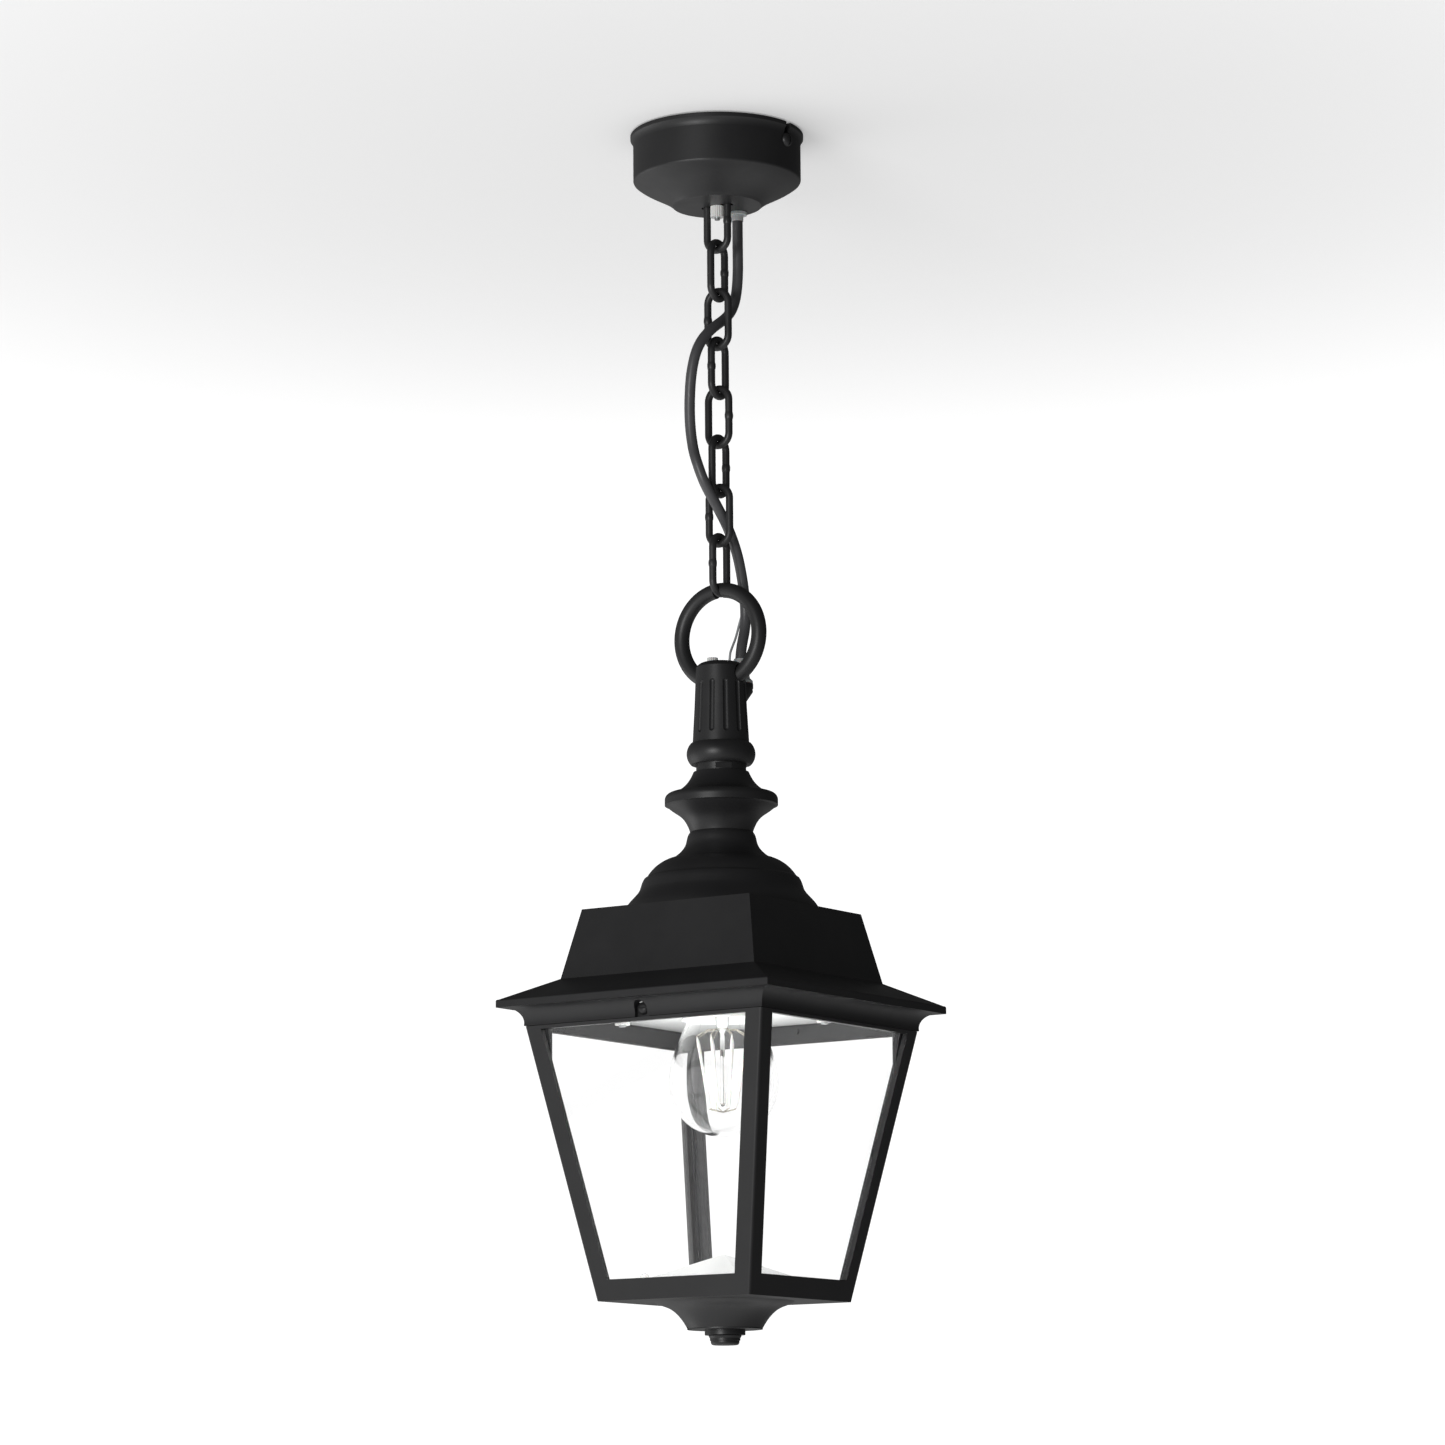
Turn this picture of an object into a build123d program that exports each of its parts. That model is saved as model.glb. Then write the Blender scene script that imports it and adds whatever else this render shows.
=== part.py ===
from build123d import *
import math
import os

# Hanging lantern: a ceiling rose, a chain with its cable, a ring, a fluted neck, a stepped dome, a square
# hood and a tapered cage of glass. Millimetres. The origin is the centre of the ceiling face, +Z is up,
# everything hangs below it, and -Y is the broad front face. Running fits have 0.05 to 0.1 of clearance.

# Ceiling rose and its bracket
rose_radius = 47.8
rose_wall = 1.5
rose_disc_z = -41.6
rose_screw_z = -10.3
rose_slot_half = 2.3
strap_thickness = 2.0
strap_slot_centre = 30.0
strap_slot_radius = 2.5
strap_slot_run = 8.0
bridge_radius = 3.0
cable_exit = (1.5, 18.3)
cable_exit_hole = 4.0

# Chain
link_count = 8
wire_radius = 2.1
bend_radius = 6.95
link_pitch = 28.45
contact_gap = 0.05
first_contact_z = -65.1
ring_link_pivot_z = first_contact_z - (link_count - 1) * link_pitch - wire_radius

# Ring that the lantern hangs from
ring_radius = 26.2
ring_wire_radius = 4.3
ring_centre_z = -290.85
ring_bottom_z = ring_centre_z - ring_radius
ring_swing = 12

# Cable and earth wire
cable_radius = 3.0
earth_radius = 0.7

# Turned column on the lantern's axis
neck_top_z = -306.0
bead_top_z = -352.0
collar_top_z = -364.0
spool_top_z = -368.3
dome_top_z = -402.2
hood_top_z = -446.9
tube_radius = 5.0
tube_bore = 3.6
flute_count = 12

# Hood, eaves and skirt: half sides of their square plans
hood_top_half = 55.95
hood_foot_half = 64.4
hood_foot_z = -485.8
eaves_half = 90.0
eaves_top_z = -497.9
eaves_foot_z = -502.3
skirt_half = 78.9
skirt_inner_half = 76.5
skirt_foot_z = -512.2
cove_width = 6.7
cove_height = 9.5
screw_notch_radius = 4.1
cage_screw_z = -507.6

# Cage: its half side shrinks steadily from the top to the foot
cage_top_z = -512.5
cage_foot_z = -663.0
cage_top_half = 78.6
cage_foot_half = 50.55
cage_wall = 3.1
rail_half = 76.2
rail_inner_half = 73.2
rail_top_z = -504.5
ledge_foot_z = -514.4
post_width = 10.5
window_foot_z = -651.5
floor_top_z = -660.5
pane_thickness = 2.0
pane_lap = 4.4
pane_top_z = -513.3
pane_foot_z = -656.0
boss_radius = 5.0
boss_centre = 71.0
boss_foot_z = -546.0
clip_top_z = -652.3
pyramid_top_z = -637.0

# Lamp
plate_top_z = -502.3
plate_thickness = 1.2
holder_top_z = -460.0
cap_radius = 13.0
lamp_foot_z = -572.3
filament_count = 8

# Base and finial
dish_foot_z = -678.2
washer_foot_z = -681.2
washer_radius = 11.2
tie_radius = 2.0


def outline(start, steps):
    """Edges from start: a point is a line, a pair of points an arc, a list of points a smooth curve."""
    edges = []
    here = start
    for step in steps:
        if isinstance(step, list):
            edges.append(Spline(here, *step))
            here = step[-1]
        elif isinstance(step[0], tuple):
            edges.append(ThreePointArc(here, *step))
            here = step[1]
        else:
            edges.append(Line(here, step))
            here = step
    if here != start:
        edges.append(Line(here, start))
    return edges


def turned(start, *steps):
    """Solid turned about Z from an outline of (radius, height)."""
    return revolve(Plane.XZ * make_face(outline(start, steps)), Axis.Z)


def square_turned(start, *steps):
    """Solid of square plan whose half side follows an outline of (half side, height), closed on Z."""
    half = make_face(outline(start, steps))
    section = Plane.XZ * (half + mirror(half, Plane.YZ))
    along_y = extrude(section, 150, both=True)
    return along_y & (Rot(0, 0, 90) * along_y)


def rod(radius, z0, z1, x=0, y=0):
    """Upright cylinder between two heights."""
    return Pos(x, y, (z0 + z1) / 2) * Cylinder(radius, abs(z1 - z0))


def block(x0, x1, y0, y1, z0, z1):
    """Box between two corners."""
    size = (abs(x1 - x0), abs(y1 - y0), abs(z1 - z0))
    return Pos((x0 + x1) / 2, (y0 + y1) / 2, (z0 + z1) / 2) * Box(*size)


def rod_along(direction, radius, length):
    """Cylinder along X or Y, centred on the origin."""
    turn = Rot(0, 90, 0) if direction == "X" else Rot(90, 0, 0)
    return turn * Cylinder(radius, length)


def knurled(radius, depth, teeth, z0, z1):
    """Upright knurled disc between two heights."""
    points = []
    for index in range(2 * teeth):
        angle = math.pi * index / teeth
        reach = radius if index % 2 else radius - depth
        points.append((reach * math.cos(angle), reach * math.sin(angle)))
    face = make_face(Polyline(*points, close=True))
    return Pos(0, 0, min(z0, z1)) * extrude(face, abs(z1 - z0))


def cage_half(z):
    """Half side of the cage at a height."""
    share = (z - cage_top_z) / (cage_foot_z - cage_top_z)
    return cage_top_half + share * (cage_foot_half - cage_top_half)


def sloped_slab(z0, z1, side_in, face_in, thickness):
    """Slab that leans with the front face: its sides stay side_in short of the corners."""
    sections = []
    for z in (z0, z1):
        half = cage_half(z) - side_in
        front = -(cage_half(z) - face_in)
        corners = [(-half, front), (half, front), (half, front + thickness), (-half, front + thickness)]
        sections.append(Pos(0, 0, z) * make_face(Polyline(*corners, close=True)))
    return loft(sections, ruled=True)


def rose_shell():
    disc_z = rose_disc_z
    inner = rose_radius - rose_wall
    shell = turned(
        (0, disc_z),
        (25.2, disc_z),
        (26.6, -40.3),
        [(31.4, -37.0), (37.4, -33.8), (47.0, -28.0)],
        ((47.6, -27.3), (rose_radius, -26.4)),
        (rose_radius, -6.6),
        ((48.3, -4.2), (49.4, -2.4)),
        (49.4, -0.4),
        (49.0, 0),
        (inner, 0),
        (inner, -25.0),
        (44.6, -26.6),
        [(36.2, -31.8), (30.4, -34.6), (25.4, disc_z + rose_wall)],
        (0, disc_z + rose_wall),
    )
    shell -= rod(cable_exit_hole, disc_z - 1, disc_z + 3, *cable_exit)
    shell -= block(-7.6, 7.6, -2.8, 2.8, disc_z - 1, disc_z + 3)
    for side in (-1, 1):
        shell -= rod(2.8, disc_z - 1, disc_z + 3, side * 7.6)
        shell -= Pos(side * rose_radius, 0, rose_screw_z) * rod_along("X", rose_slot_half, 8)
        shell -= block(side * rose_radius - 4, side * rose_radius + 4, -rose_slot_half, rose_slot_half,
                       rose_screw_z, 1)
    return shell


def ceiling_bracket():
    strap = block(-43.5, 43.5, -13, 13, -strap_thickness, 0)
    strap += block(-45.3, 45.3, -8, 8, -strap_thickness, 0)
    for side in (-1, 1):
        strap += block(side * 43.3, side * 45.3, -8, 8, -18, 0)
        strap -= Pos(side * 44.3, 0, rose_screw_z) * rod_along("X", 1.75, 6)
        run = strap_slot_run / 2
        strap -= block(side * strap_slot_centre - run, side * strap_slot_centre + run,
                       -strap_slot_radius, strap_slot_radius, -5, 1)
        for end in (-run, run):
            strap -= rod(strap_slot_radius, -5, 1, side * strap_slot_centre + end)
    return strap


def bridge_z():
    """Centre height of the round bar that the first link hangs on."""
    link_top = first_contact_z - wire_radius - contact_gap / 2 + link_length()
    return link_top - wire_radius - contact_gap - bridge_radius


def link_length():
    """Distance between the centres of a link's two end bends' wire."""
    return link_pitch + 2 * wire_radius + contact_gap


def hanger_yoke():
    foot = rose_disc_z + rose_wall
    yoke = Pos(0, 0, bridge_z()) * rod_along("Y", bridge_radius, 23)
    yoke &= block(-5, 5, -11.5, 11.5, foot, -30)
    for side in (-1, 1):
        yoke += block(-7, 7, side * 10.5, side * 12.5, foot, -strap_thickness)
    return yoke - rod(1.5, foot - 1, -30)


def clamp_stud():
    return rod(1.5, bridge_z() + 1.5, -49.6)


def rose_nut():
    return knurled(3.9, 0.3, 22, rose_disc_z - contact_gap, -48) - rod(1.55, -30, -60)


def domed_screw(head_radius, head_height, shank_radius, shank_length):
    """Upright screw, the back of its slotted dome on the XY plane."""
    waist = (0.75 * head_radius, 0.72 * head_height)
    screw = turned((0, head_height), (waist, (head_radius, 0)), (shank_radius, 0),
                   (shank_radius, -shank_length), (0, -shank_length))
    return screw - block(-head_radius, head_radius, -0.45, 0.45, 0.55 * head_height, head_height + 1)


def rose_screw(side):
    screw = Rot(0, 90, 0) * domed_screw(4.0, 2.4, 1.7, 5.5)
    return Rot(0, 0, 0 if side > 0 else 180) * Pos(rose_radius + contact_gap, 0, rose_screw_z) * screw


def cable_grommet():
    inner_top = rose_disc_z + rose_wall + 1.4
    x, y = cable_exit
    return (rod(5.5, rose_disc_z - 1.5, rose_disc_z, x, y) + rod(cable_exit_hole, rose_disc_z, inner_top, x, y)
            + rod(5.4, rose_disc_z + rose_wall, inner_top, x, y)
            + rod(3.35, rose_disc_z - 5.0, rose_disc_z - 1.5, x, y))


def rose_terminal_block():
    body = block(14, 38, -12, -4, -13, -strap_thickness)
    for index in range(3):
        body -= rod(1.6, -9, -14, 18 + 8 * index, -8)
    return body


def chain_link(index):
    """One welded link: odd ones lie in the XZ plane, even ones in the YZ plane."""
    foot_z = first_contact_z - (index - 1) * link_pitch - wire_radius - contact_gap / 2
    straight = link_length() - 2 * bend_radius
    half = Wire([Line((bend_radius, 0, -straight / 2), (bend_radius, 0, straight / 2)),
                 ThreePointArc((bend_radius, 0, straight / 2), (0, 0, straight / 2 + bend_radius),
                               (-bend_radius, 0, straight / 2)),
                 Line((-bend_radius, 0, straight / 2), (-bend_radius, 0, -straight / 2)),
                 ThreePointArc((-bend_radius, 0, -straight / 2), (0, 0, -straight / 2 - bend_radius),
                               (bend_radius, 0, -straight / 2))])
    shape = sweep(Pos(bend_radius, 0, -straight / 2) * Circle(wire_radius), path=half)
    turn = 0 if index % 2 else 90
    return Pos(0, 0, foot_z + link_length() / 2) * Rot(0, 0, turn) * shape


def suspension_ring():
    """Round ring with a seat cut in its top for the last link."""
    ring = Pos(0, 0, ring_centre_z) * Rot(90, 0, 0) * Torus(ring_radius, ring_wire_radius)
    room = wire_radius + 0.35
    seat = Pos(0, 0, ring_link_pivot_z + bend_radius) * Rot(0, 90, 0) * Torus(bend_radius, room)
    ring -= seat
    return ring - block(-room, room, -6, 6, ring_link_pivot_z, ring_link_pivot_z - 4)


def fluted_neck():
    neck = turned(
        (0, neck_top_z),
        (8.2, neck_top_z),
        ((11.8, neck_top_z - 0.8), (13.8, neck_top_z - 2.9)),
        (14.7, -331),
        (15.9, bead_top_z),
        (0, bead_top_z),
    )
    flute_top, flute_foot = -318.6, -345.4
    lean = math.degrees(math.atan((15.6 - 14.2) / (flute_top - flute_foot)))
    flute = Cylinder(1.8, flute_top - flute_foot)
    for end in (-1, 1):
        flute += Pos(0, 0, end * (flute_top - flute_foot) / 2) * Sphere(1.8)
    for index in range(flute_count):
        angle = 15 + 30 * index
        neck -= Rot(0, 0, angle) * Pos(15.7, 0, (flute_top + flute_foot) / 2) * Rot(0, -lean, 0) * flute
    boss = Pos(0, 20, -318) * Rot(180 - 24, 0, 0) * Pos(0, 0, 9) * Cone(7.2, 1.6, 18)
    boss += Pos(0, 20, -316.6) * Cylinder(7.2, 2.8)
    neck += boss & block(-20, 20, 5, 40, -345, -315.2)
    for angle in (-ring_swing, 0, ring_swing):
        hole = Rot(angle, 0, 0) * Pos(0, 0, ring_radius) * Rot(90, 0, 0) * Torus(ring_radius, 4.4)
        neck -= Pos(0, 0, ring_bottom_z) * hole
    neck -= rod(tube_radius, bead_top_z - 1, -339)
    neck -= rod(3.6, -330, -340)
    neck -= Pos(0, 10, -328) * Rot(45, 0, 0) * Cylinder(2.6, 26)
    neck -= rod(7.05, -300, -315.2, 0, 20)
    return neck - rod(1.5, -308, -300, 0, 9.2)


def cable_gland():
    gland = Pos(0, 20, 0) * turned(
        (0, -307.4), (4.2, -307.4), (4.8, -308.2), (5.4, -312), (7.0, -313.6), (7.0, -315.2), (0, -315.2)
    )
    return gland


def bead_ring():
    return turned((tube_radius, bead_top_z), (16.9, bead_top_z), ((19.3, -358), (16.9, collar_top_z)),
                  (tube_radius, collar_top_z))


def lock_collar():
    collar = turned((tube_radius, collar_top_z), (14.35, collar_top_z), (14.35, spool_top_z),
                    (tube_radius, spool_top_z))
    for index in range(4):
        collar -= Rot(0, 0, 40 + 90 * index) * block(13.4, 20, -4.5, 4.5, -364.6, -367.7)
    return collar


def spool():
    return turned(
        (tube_radius, spool_top_z),
        (15.6, spool_top_z),
        [(17.2, -371.7), (19.5, -375.0), (23.6, -378.5), (28.4, -380.2)],
        ((30.9, -381.6), (31.7, -384.0)),
        (31.7, -387.0),
        (30.2, -387.6),
        [(26.8, -390.3), (22.2, -393.7), (19.2, -398.0), (17.6, dome_top_z)],
        (tube_radius, dome_top_z),
    )


def stepped_dome():
    return turned(
        (tube_radius, dome_top_z),
        (17.6, dome_top_z),
        [(19.3, -405.6), (20.1, -409.0), (22.0, -412.3), (25.6, -415.7), (28.1, -417.4)],
        (29.8, -417.6),
        ((37.6, -422.3), (41.8, -427.5)),
        (43.4, -428.6),
        [(44.9, -431.8), (45.9, -434.9), (49.2, -439.3), (54.5, hood_top_z)],
        (51.4, hood_top_z),
        (43.0, -434.8),
        (39.4, -428.2),
        (33.4, -422.0),
        (25.6, -419.6),
        (17.2, -411.0),
        (15.4, -405.0),
        (tube_radius, -405.0),
    )


def hood():
    cove_x = skirt_half + cove_width
    cove_foot_z = eaves_foot_z - cove_height
    bend = 1 - math.sqrt(0.5)
    shell = square_turned(
        (0, hood_top_z),
        (hood_top_half, hood_top_z),
        (hood_foot_half, hood_foot_z),
        (eaves_half - 1.0, eaves_top_z),
        ((eaves_half - 0.25, eaves_top_z - 0.3), (eaves_half, eaves_top_z - 1.0)),
        (eaves_half, eaves_foot_z),
        (cove_x, eaves_foot_z),
        ((skirt_half + bend * cove_width, eaves_foot_z - bend * cove_height), (skirt_half, cove_foot_z)),
        (skirt_half, skirt_foot_z),
        (0, skirt_foot_z),
    )
    shell -= square_turned(
        (0, hood_top_z - 2.6),
        (53.2, hood_top_z - 2.6),
        (61.6, -487.3),
        (skirt_inner_half, -495.4),
        (skirt_inner_half, skirt_foot_z - 1),
        (0, skirt_foot_z - 1),
    )
    shell -= rod(tube_radius, -440, -455)
    for side in (-1, 1):
        notch = rod_along("Y", screw_notch_radius, 16)
        notch += block(-screw_notch_radius, screw_notch_radius, -8, 8, -10, 0)
        shell -= Pos(0, side * (skirt_half + 2), cage_screw_z) * notch
    return shell


def threaded_tube():
    return rod(tube_radius, -339, holder_top_z - 3) - rod(tube_bore, -330, -480)


def tube_washer():
    return rod(14, hood_top_z - 2.6, hood_top_z - 4.2) - rod(tube_radius, -440, -460)


def tube_nut():
    hexagon = extrude(RegularPolygon(8.5, 6, major_radius=False), 5)
    return Pos(0, 0, hood_top_z - 9.2) * hexagon - rod(tube_radius, -440, -460)


def plate_studs():
    studs = [rod(2.0, hood_top_z - 2.6, -510.4, 48 * side, 28 * side) for side in (-1, 1)]
    return Compound(children=studs)


def reflector_plate():
    plate = block(-74.5, 74.5, -74.5, 74.5, plate_top_z, plate_top_z - plate_thickness)
    plate -= rod(23, -495, -510)
    for side in (-1, 1):
        plate -= rod(2.0, -495, -510, 48 * side, 28 * side)
    return plate


def plate_nuts():
    top = plate_top_z - plate_thickness
    nuts = []
    for side in (-1, 1):
        nut = knurled(4.2, 0.35, 20, top, top - 6) - rod(2.0, -495, -515)
        nuts.append(Pos(48 * side, 28 * side, 0) * nut)
    return Compound(children=nuts)


def plate_spacers():
    """Sleeves on the studs that hold the plate down at its height."""
    sleeves = []
    for side in (-1, 1):
        x, y = 48 * side, 28 * side
        sleeves.append(rod(3.4, hood_top_z - 2.6, plate_top_z, x, y) - rod(2.0, -440, -510, x, y))
    return Compound(children=sleeves)


def holder_cover():
    cover = turned((tube_radius, holder_top_z), (12, holder_top_z), ((17.6, -462.0), (20, -467)),
                   (20, -470), (15, -470), (15, -466), (tube_radius, -466))
    return cover


def holder_body():
    body = rod(20, -470, -496) + rod(15, -466, -470)
    return body - rod(cap_radius + 0.1, -467.2, -497) - rod(3.5, -465, -468)


def holder_contact():
    return rod(3.5, -466, -467.2)


def holder_skirt():
    return rod(22.5, -478, -507.5) - rod(20, -477, -499) - rod(18.5, -498, -510)


def lamp_cap():
    cap = turned((0, -467.4), (4.6, -467.4), (5.4, -468.6), (10.8, -470.6), (cap_radius, -473.2),
                 (cap_radius, -494), (12.3, -494), (12.3, -474), (9.5, -472.2), (0, -471.0))
    return cap


def bulb_form(shrink):
    """Closed form of the lamp's glass, smaller by a wall."""
    widest = 30.0 - shrink
    middle = lamp_foot_z + 30.0
    return turned(
        (0, -486),
        (12.3 - shrink, -486),
        (12.3 - shrink, -494),
        [(13.9 - shrink, -501.5), (18.3 - shrink, -511.5), (25.3 - shrink, -524.5), (widest, middle)],
        ((widest * math.sqrt(0.5), middle - widest * math.sqrt(0.5)), (0, middle - widest)),
    )


def lamp_glass():
    return bulb_form(0) - bulb_form(0.8) - rod(12.3 - 0.8, -480, -488)


def lamp_stem():
    """Glass stem with the post and the two small discs that carry the filaments."""
    return turned(
        (0, -472), (9.4, -472.4), (9.4, -480), (5.0, -490), (4.0, -508), (15.8, -515.4), (15.8, -516.0),
        (3.0, -512), (0.8, -514), (0.8, -558), (8.4, -558), (8.4, -558.6), (0, -558.6),
    )


def lamp_filaments():
    filaments = []
    for index in range(filament_count):
        angle = math.radians(360 * index / filament_count + 10)
        top = Vector(15.0 * math.cos(angle), 15.0 * math.sin(angle), -516.4)
        foot = Vector(7.4 * math.cos(angle + 0.35), 7.4 * math.sin(angle + 0.35), -557.6)
        direction = foot - top
        plane = Plane(origin=(top + foot) * 0.5, z_dir=direction)
        filaments.append(plane * Cylinder(0.9, direction.length))
    return Compound(children=filaments)


def cage_frame():
    frame = square_turned(
        (0, rail_top_z),
        (rail_half, rail_top_z),
        (rail_half, cage_top_z),
        (cage_top_half, cage_top_z),
        (cage_foot_half, cage_foot_z),
        (0, cage_foot_z),
    )
    arrises = [edge for edge in frame.edges() if edge.length > 100 and abs(edge.tangent_at(0.5).Z) > 0.8]
    frame = fillet(arrises, 1.6)
    frame -= square_turned(
        (0, rail_top_z + 1),
        (rail_inner_half, rail_top_z + 1),
        (rail_inner_half, ledge_foot_z),
        (cage_half(ledge_foot_z) - cage_wall, ledge_foot_z),
        (cage_half(floor_top_z) - cage_wall, floor_top_z),
        (0, floor_top_z),
    )
    top, foot = cage_half(ledge_foot_z) - post_width, cage_half(window_foot_z) - post_width
    opening = make_face(Polyline((-top, ledge_foot_z), (top, ledge_foot_z), (foot, window_foot_z),
                                 (-foot, window_foot_z), close=True))
    cutter = extrude(Plane.XZ * opening, 120, both=True)
    frame -= cutter + Rot(0, 0, 90) * cutter
    boss_top_z = cage_top_z - 0.2
    inside = square_turned(
        (0, boss_top_z),
        (cage_half(boss_top_z) - 1, boss_top_z),
        (cage_half(boss_foot_z) - 1, boss_foot_z),
        (0, boss_foot_z),
    )
    boss = rod(boss_radius, boss_top_z, boss_foot_z, boss_centre, boss_centre)
    boss += block(boss_centre, boss_centre + 8, boss_centre, boss_centre + 8, boss_top_z, boss_foot_z)
    for turn in (0, 90, 180, 270):
        frame += (Rot(0, 0, turn) * boss) & inside
    for turn in (0, 90, 180, 270):
        slot = sloped_slab(pane_top_z + 0.1, pane_foot_z, post_width - pane_lap - 0.2, cage_wall,
                           pane_thickness + 0.15)
        frame -= Rot(0, 0, turn) * slot
    for side in (-1, 1):
        frame -= Pos(0, side * 75, cage_screw_z) * rod_along("Y", 1.55, 8)
    return frame - rod(tie_radius, -650, -670)


def glass_pane(turn):
    pane = sloped_slab(pane_top_z, pane_foot_z, post_width - pane_lap, cage_wall, pane_thickness)
    return Rot(0, 0, turn) * pane


def pane_clips():
    """Small pads on the floor behind the foot of each pane."""
    clips = []
    for turn in (0, 90, 180, 270):
        pad = sloped_slab(clip_top_z, floor_top_z, cage_half(clip_top_z) - 5, cage_wall + pane_thickness, 1.4)
        clips.append(Rot(0, 0, turn) * pad)
    return Compound(children=clips)


def cage_screw(side):
    screw = Rot(-90, 0, 0) * domed_screw(3.7, 2.3, 1.5, 4.5)
    return Rot(0, 0, 0 if side > 0 else 180) * Pos(0, rail_half + contact_gap, cage_screw_z) * screw


def base_dish():
    dish = turned(
        (tie_radius, cage_foot_z),
        (38.5, cage_foot_z),
        [(36.0, -664.4), (30.5, -666.6), (26.2, -669.9), (22.7, -674.3), (20.8, -677.6)],
        (20.8, dish_foot_z),
        (tie_radius, dish_foot_z),
    )
    return dish - Rot(0, 0, -135) * block(18.5, 24, -1.6, 1.6, -676.9, -680)


def pyramid():
    """Outer form of the floor reflector, solid."""
    return square_turned((0, pyramid_top_z), (0.5, pyramid_top_z), (44.0, -656.5), (44.0, floor_top_z),
                         (0, floor_top_z))


def floor_reflector():
    return pyramid() - square_turned((0, -638.7), (42.8, -657.6), (42.8, -662), (0, -662))


def floor_nut():
    """Small domed nut that saddles one ridge of the floor reflector."""
    nut = turned((0, -647.5), ((1.7, -648.0), (2.4, -649.4)), (2.4, -654), (0, -654))
    return Pos(-31.3, -31.3, 0) * nut - pyramid()


def tie_rod():
    return rod(tie_radius, -656, -684.6) + rod(4.0, floor_top_z + 3, floor_top_z)


def finial_washer():
    return rod(washer_radius, dish_foot_z, washer_foot_z) - rod(tie_radius, -675, -685)


def finial_knob():
    top = washer_foot_z - contact_gap
    return turned((tie_radius + 0.05, top), (8.8, top), (9.1, -681.7), (8.4, -683.0), (8.4, -684.2),
                  (7.9, -684.4), (7.9, -685.2), ((7.4, -686.3), (6.3, -686.7)), (0, -686.7), (0, -684.9),
                  (tie_radius + 0.05, -684.9))


# The cable hangs beside the chain and passes through the windows of the third and the seventh link.
cable_route = [
    (1.5, 18.3, rose_disc_z - 5.0), (1.5, 18.3, -61), (1.2, 18.9, -79), (0.9, 16.6, -94),
    (0.8, 9.6, -104.3), (0.8, -9.8, -115.9), (-1.2, -19.2, -127), (-4.3, -20.8, -141),
    (-6.8, -19.2, -157), (-7.4, -18.0, -172), (-6.0, -17.2, -185), (-3.2, -17.8, -193),
    (0.2, -14.8, -206.0), (0.8, -4.6, -215.6), (0.8, 7.6, -227.4), (0.7, 16.2, -239.5), (0.6, 21.4, -253),
    (0.4, 24.8, -267), (0.2, 25.4, -281), (0, 21.6, -292.6), (0, 20, -300.6), (0, 20, -307.4),
]
# The earth wire leaves the side of the cable just above the neck.
earth_route = [
    (0.3, 25.2, -268.5), (-2.0, 25.6, -273.0), (-3.5, 24.2, -280.0), (-2.9, 19.9, -288.5),
    (-1.5, 13.8, -295.2), (0, 9.2, -300.0), (0, 9.2, -305.6),
]


def soft_tube(name, points, radius):
    """Tube of straight runs joined by tangent arcs, as large as the runs allow."""
    vectors = [Vector(*point) for point in points]
    radii = []
    for before, here, after in zip(vectors, vectors[1:], vectors[2:]):
        turn = math.radians((here - before).get_angle(after - here))
        shorter = min((here - before).length, (after - here).length)
        radii.append(0.45 * shorter / math.tan(turn / 2))
    path = FilletPolyline(*points, radius=radii)
    face = Plane(origin=points[0], z_dir=vectors[1] - vectors[0]) * Circle(radius)
    tube = sweep(face, path=path)
    print(name, "length %.1f" % path.length, "volume %.0f" % tube.volume)
    print("  radii", " ".join("%.0f" % value for value in radii))
    return tube


def supply_cable():
    return soft_tube("supply_cable", cable_route, cable_radius)


def earth_wire():
    return soft_tube("earth_wire", earth_route, earth_radius) - supply_cable()


def wire_bush():
    return rod(1.5, -308, -305.6, 0, 9.2)


def neck_set_screw():
    return Pos(-3.6, -2.6, 0) * knurled(3.1, 0.3, 18, neck_top_z, neck_top_z + 2.8)


parts = {
    "rose_shell": rose_shell(),
    "ceiling_bracket": ceiling_bracket(),
    "hanger_yoke": hanger_yoke(),
    "clamp_stud": clamp_stud(),
    "rose_nut": rose_nut(),
    "rose_screw_right": rose_screw(1),
    "rose_screw_left": rose_screw(-1),
    "cable_grommet": cable_grommet(),
    "rose_terminal_block": rose_terminal_block(),
    "suspension_ring": suspension_ring(),
    "fluted_neck": fluted_neck(),
    "cable_gland": cable_gland(),
    "wire_bush": wire_bush(),
    "neck_set_screw": neck_set_screw(),
    "bead_ring": bead_ring(),
    "lock_collar": lock_collar(),
    "spool": spool(),
    "stepped_dome": stepped_dome(),
    "hood": hood(),
    "threaded_tube": threaded_tube(),
    "tube_washer": tube_washer(),
    "tube_nut": tube_nut(),
    "plate_studs": plate_studs(),
    "plate_spacers": plate_spacers(),
    "reflector_plate": reflector_plate(),
    "plate_nuts": plate_nuts(),
    "holder_cover": holder_cover(),
    "holder_body": holder_body(),
    "holder_contact": holder_contact(),
    "holder_skirt": holder_skirt(),
    "lamp_cap": lamp_cap(),
    "lamp_glass": lamp_glass(),
    "lamp_stem": lamp_stem(),
    "lamp_filaments": lamp_filaments(),
    "cage_frame": cage_frame(),
    "glass_pane_front": glass_pane(0),
    "glass_pane_right": glass_pane(90),
    "glass_pane_back": glass_pane(180),
    "glass_pane_left": glass_pane(270),
    "pane_clips": pane_clips(),
    "cage_screw_back": cage_screw(1),
    "cage_screw_front": cage_screw(-1),
    "base_dish": base_dish(),
    "floor_reflector": floor_reflector(),
    "floor_nut": floor_nut(),
    "tie_rod": tie_rod(),
    "finial_washer": finial_washer(),
    "finial_knob": finial_knob(),
    "supply_cable": supply_cable(),
    "earth_wire": earth_wire(),
}
for number in range(1, link_count + 1):
    parts["chain_link_%d" % number] = chain_link(number)

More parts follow.
